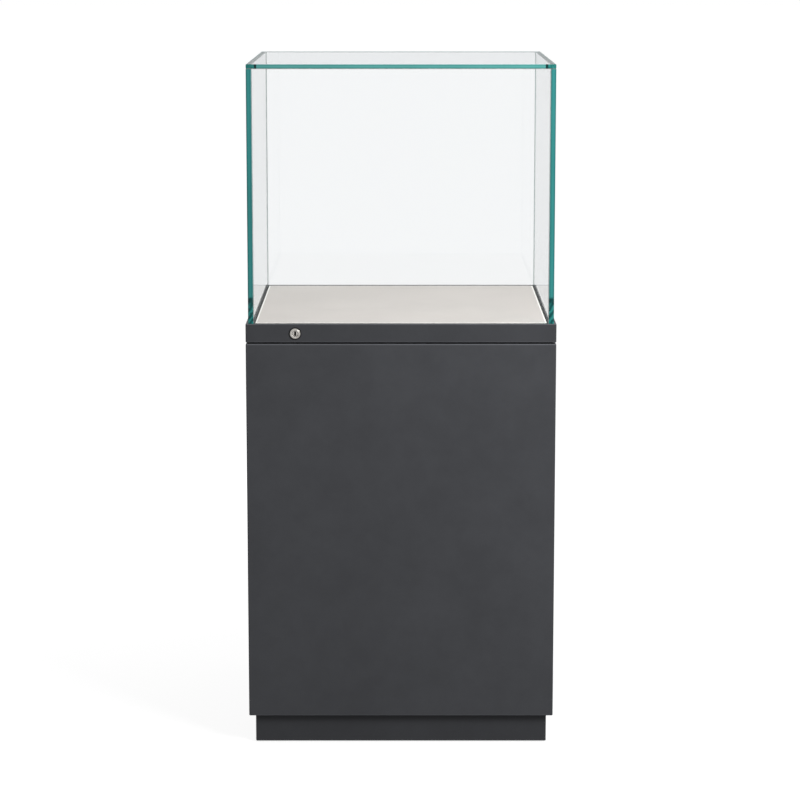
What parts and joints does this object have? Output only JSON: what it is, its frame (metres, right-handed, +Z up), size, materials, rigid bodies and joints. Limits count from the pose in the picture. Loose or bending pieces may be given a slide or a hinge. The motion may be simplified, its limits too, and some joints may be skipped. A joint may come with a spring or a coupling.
{
  "type": "pedestal display case",
  "caption": "Glass-topped pedestal display case: steel pedestal on a recessed plinth, collar with key lock, pale deck and a square lift-off glass hood.",
  "frame": {"origin": "on the floor under the middle of the case", "axes": "+Z up, -Y towards the front with the lock, +X to the right seen from the front"},
  "size_m": [0.6, 0.6048, 1.337],
  "materials": {
    "powder_coat": "satin fine-texture powder coat",
    "zinc_plate": "bright zinc plate",
    "bright_metal": "satin nickel",
    "black_metal": "black oxide",
    "aluminium": "anodised",
    "black_rubber": "matt",
    "foam": "closed-cell foam",
    "deck_paint": "fine matt paint on board",
    "clear_glass": "polished float glass with green edges"
  },
  "bodies": {
    "pedestal": {"plinth_frame": "powder_coat", "plinth_gusset_front_left": "zinc_plate", "plinth_gusset_front_right": "zinc_plate", "plinth_gusset_back_left": "zinc_plate", "plinth_gusset_back_right": "zinc_plate", "base_bolt_front_left": "zinc_plate", "base_bolt_front_right": "zinc_plate", "base_bolt_back_left": "zinc_plate", "base_bolt_back_right": "zinc_plate", "body_shell": "powder_coat", "back_panel": "powder_coat", "floor_plate": "zinc_plate", "corner_post_front_left": "zinc_plate", "corner_post_front_right": "zinc_plate", "corner_post_back_left": "zinc_plate", "corner_post_back_right": "zinc_plate", "top_rail_front": "zinc_plate", "top_rail_back": "zinc_plate", "top_rail_left": "zinc_plate", "top_rail_right": "zinc_plate", "back_screw_lower_left": "black_metal", "back_screw_lower_right": "black_metal", "back_screw_upper_left": "black_metal", "back_screw_upper_right": "black_metal", "gap_spacer": "black_metal", "collar": "powder_coat", "collar_screw_front": "zinc_plate", "collar_screw_back": "zinc_plate", "collar_screw_left": "zinc_plate", "collar_screw_right": "zinc_plate", "deck_rail_left": "zinc_plate", "deck_rail_right": "zinc_plate", "deck_board": "deck_paint", "deck_gasket": "black_rubber", "hood_seat_tape": "foam", "lock_escutcheon": "black_metal", "lock_cylinder": "bright_metal", "lock_case": "zinc_plate", "lock_cover": "zinc_plate"},
    "hood": {"glass_top": "clear_glass", "glass_left": "clear_glass", "glass_right": "clear_glass", "glass_front": "clear_glass", "glass_back": "clear_glass", "hood_sole_left": "aluminium", "hood_sole_right": "aluminium", "hood_sole_front": "aluminium", "hood_sole_back": "aluminium", "hood_tongue": "zinc_plate"},
    "key_plug": {"lock_plug": "bright_metal"},
    "bolt": {"lock_bolt": "bright_metal"},
    "foot_front_left": {"foot_pad_front_left": "black_rubber"},
    "foot_front_right": {"foot_pad_front_right": "black_rubber"},
    "foot_back_left": {"foot_pad_back_left": "black_rubber"},
    "foot_back_right": {"foot_pad_back_right": "black_rubber"},
    "stem_front_left": {"foot_stem_front_left": "zinc_plate"},
    "stem_front_right": {"foot_stem_front_right": "zinc_plate"},
    "stem_back_left": {"foot_stem_back_left": "zinc_plate"},
    "stem_back_right": {"foot_stem_back_right": "zinc_plate"}
  },
  "joints": [
    {"name": "hood_lift", "type": "slide", "parent": "pedestal", "child": "hood", "axis": [0, 0, 1], "range_m": [0, 0.55]},
    {"name": "key_turn", "type": "hinge", "parent": "pedestal", "child": "key_plug", "pos_m": [-0.204, -0.3, 0.8216], "axis": [0, -1, 0], "range_deg": [0, 90]},
    {"name": "bolt_throw", "type": "slide", "parent": "pedestal", "child": "bolt", "axis": [1, 0, 0], "range_m": [0, 0.0064]},
    {"name": "foot_height_front_left", "type": "slide", "parent": "pedestal", "child": "foot_front_left", "axis": [0, 0, 1], "range_m": [-0.012, 0]},
    {"name": "foot_height_front_right", "type": "slide", "parent": "pedestal", "child": "foot_front_right", "axis": [0, 0, 1], "range_m": [-0.012, 0]},
    {"name": "foot_height_back_left", "type": "slide", "parent": "pedestal", "child": "foot_back_left", "axis": [0, 0, 1], "range_m": [-0.012, 0]},
    {"name": "foot_height_back_right", "type": "slide", "parent": "pedestal", "child": "foot_back_right", "axis": [0, 0, 1], "range_m": [-0.012, 0]},
    {"name": "foot_turn_front_left", "type": "hinge", "parent": "foot_front_left", "child": "stem_front_left", "pos_m": [-0.245, -0.245, 0.03], "axis": [0, 0, 1], "range_deg": [-2881, 0]},
    {"name": "foot_turn_front_right", "type": "hinge", "parent": "foot_front_right", "child": "stem_front_right", "pos_m": [0.245, -0.245, 0.03], "axis": [0, 0, 1], "range_deg": [-2881, 0]},
    {"name": "foot_turn_back_left", "type": "hinge", "parent": "foot_back_left", "child": "stem_back_left", "pos_m": [-0.245, 0.245, 0.03], "axis": [0, 0, 1], "range_deg": [-2881, 0]},
    {"name": "foot_turn_back_right", "type": "hinge", "parent": "foot_back_right", "child": "stem_back_right", "pos_m": [0.245, 0.245, 0.03], "axis": [0, 0, 1], "range_deg": [-2881, 0]}
  ],
  "couplings": [
    {"joint": "bolt_throw", "follows": "key_turn", "m_per_rad": 0.0040514},
    {"joint": "foot_turn_front_left", "follows": "foot_height_front_left", "rad_per_m": 4188.8},
    {"joint": "foot_turn_front_right", "follows": "foot_height_front_right", "rad_per_m": 4188.8},
    {"joint": "foot_turn_back_left", "follows": "foot_height_back_left", "rad_per_m": 4188.8},
    {"joint": "foot_turn_back_right", "follows": "foot_height_back_right", "rad_per_m": 4188.8}
  ]
}
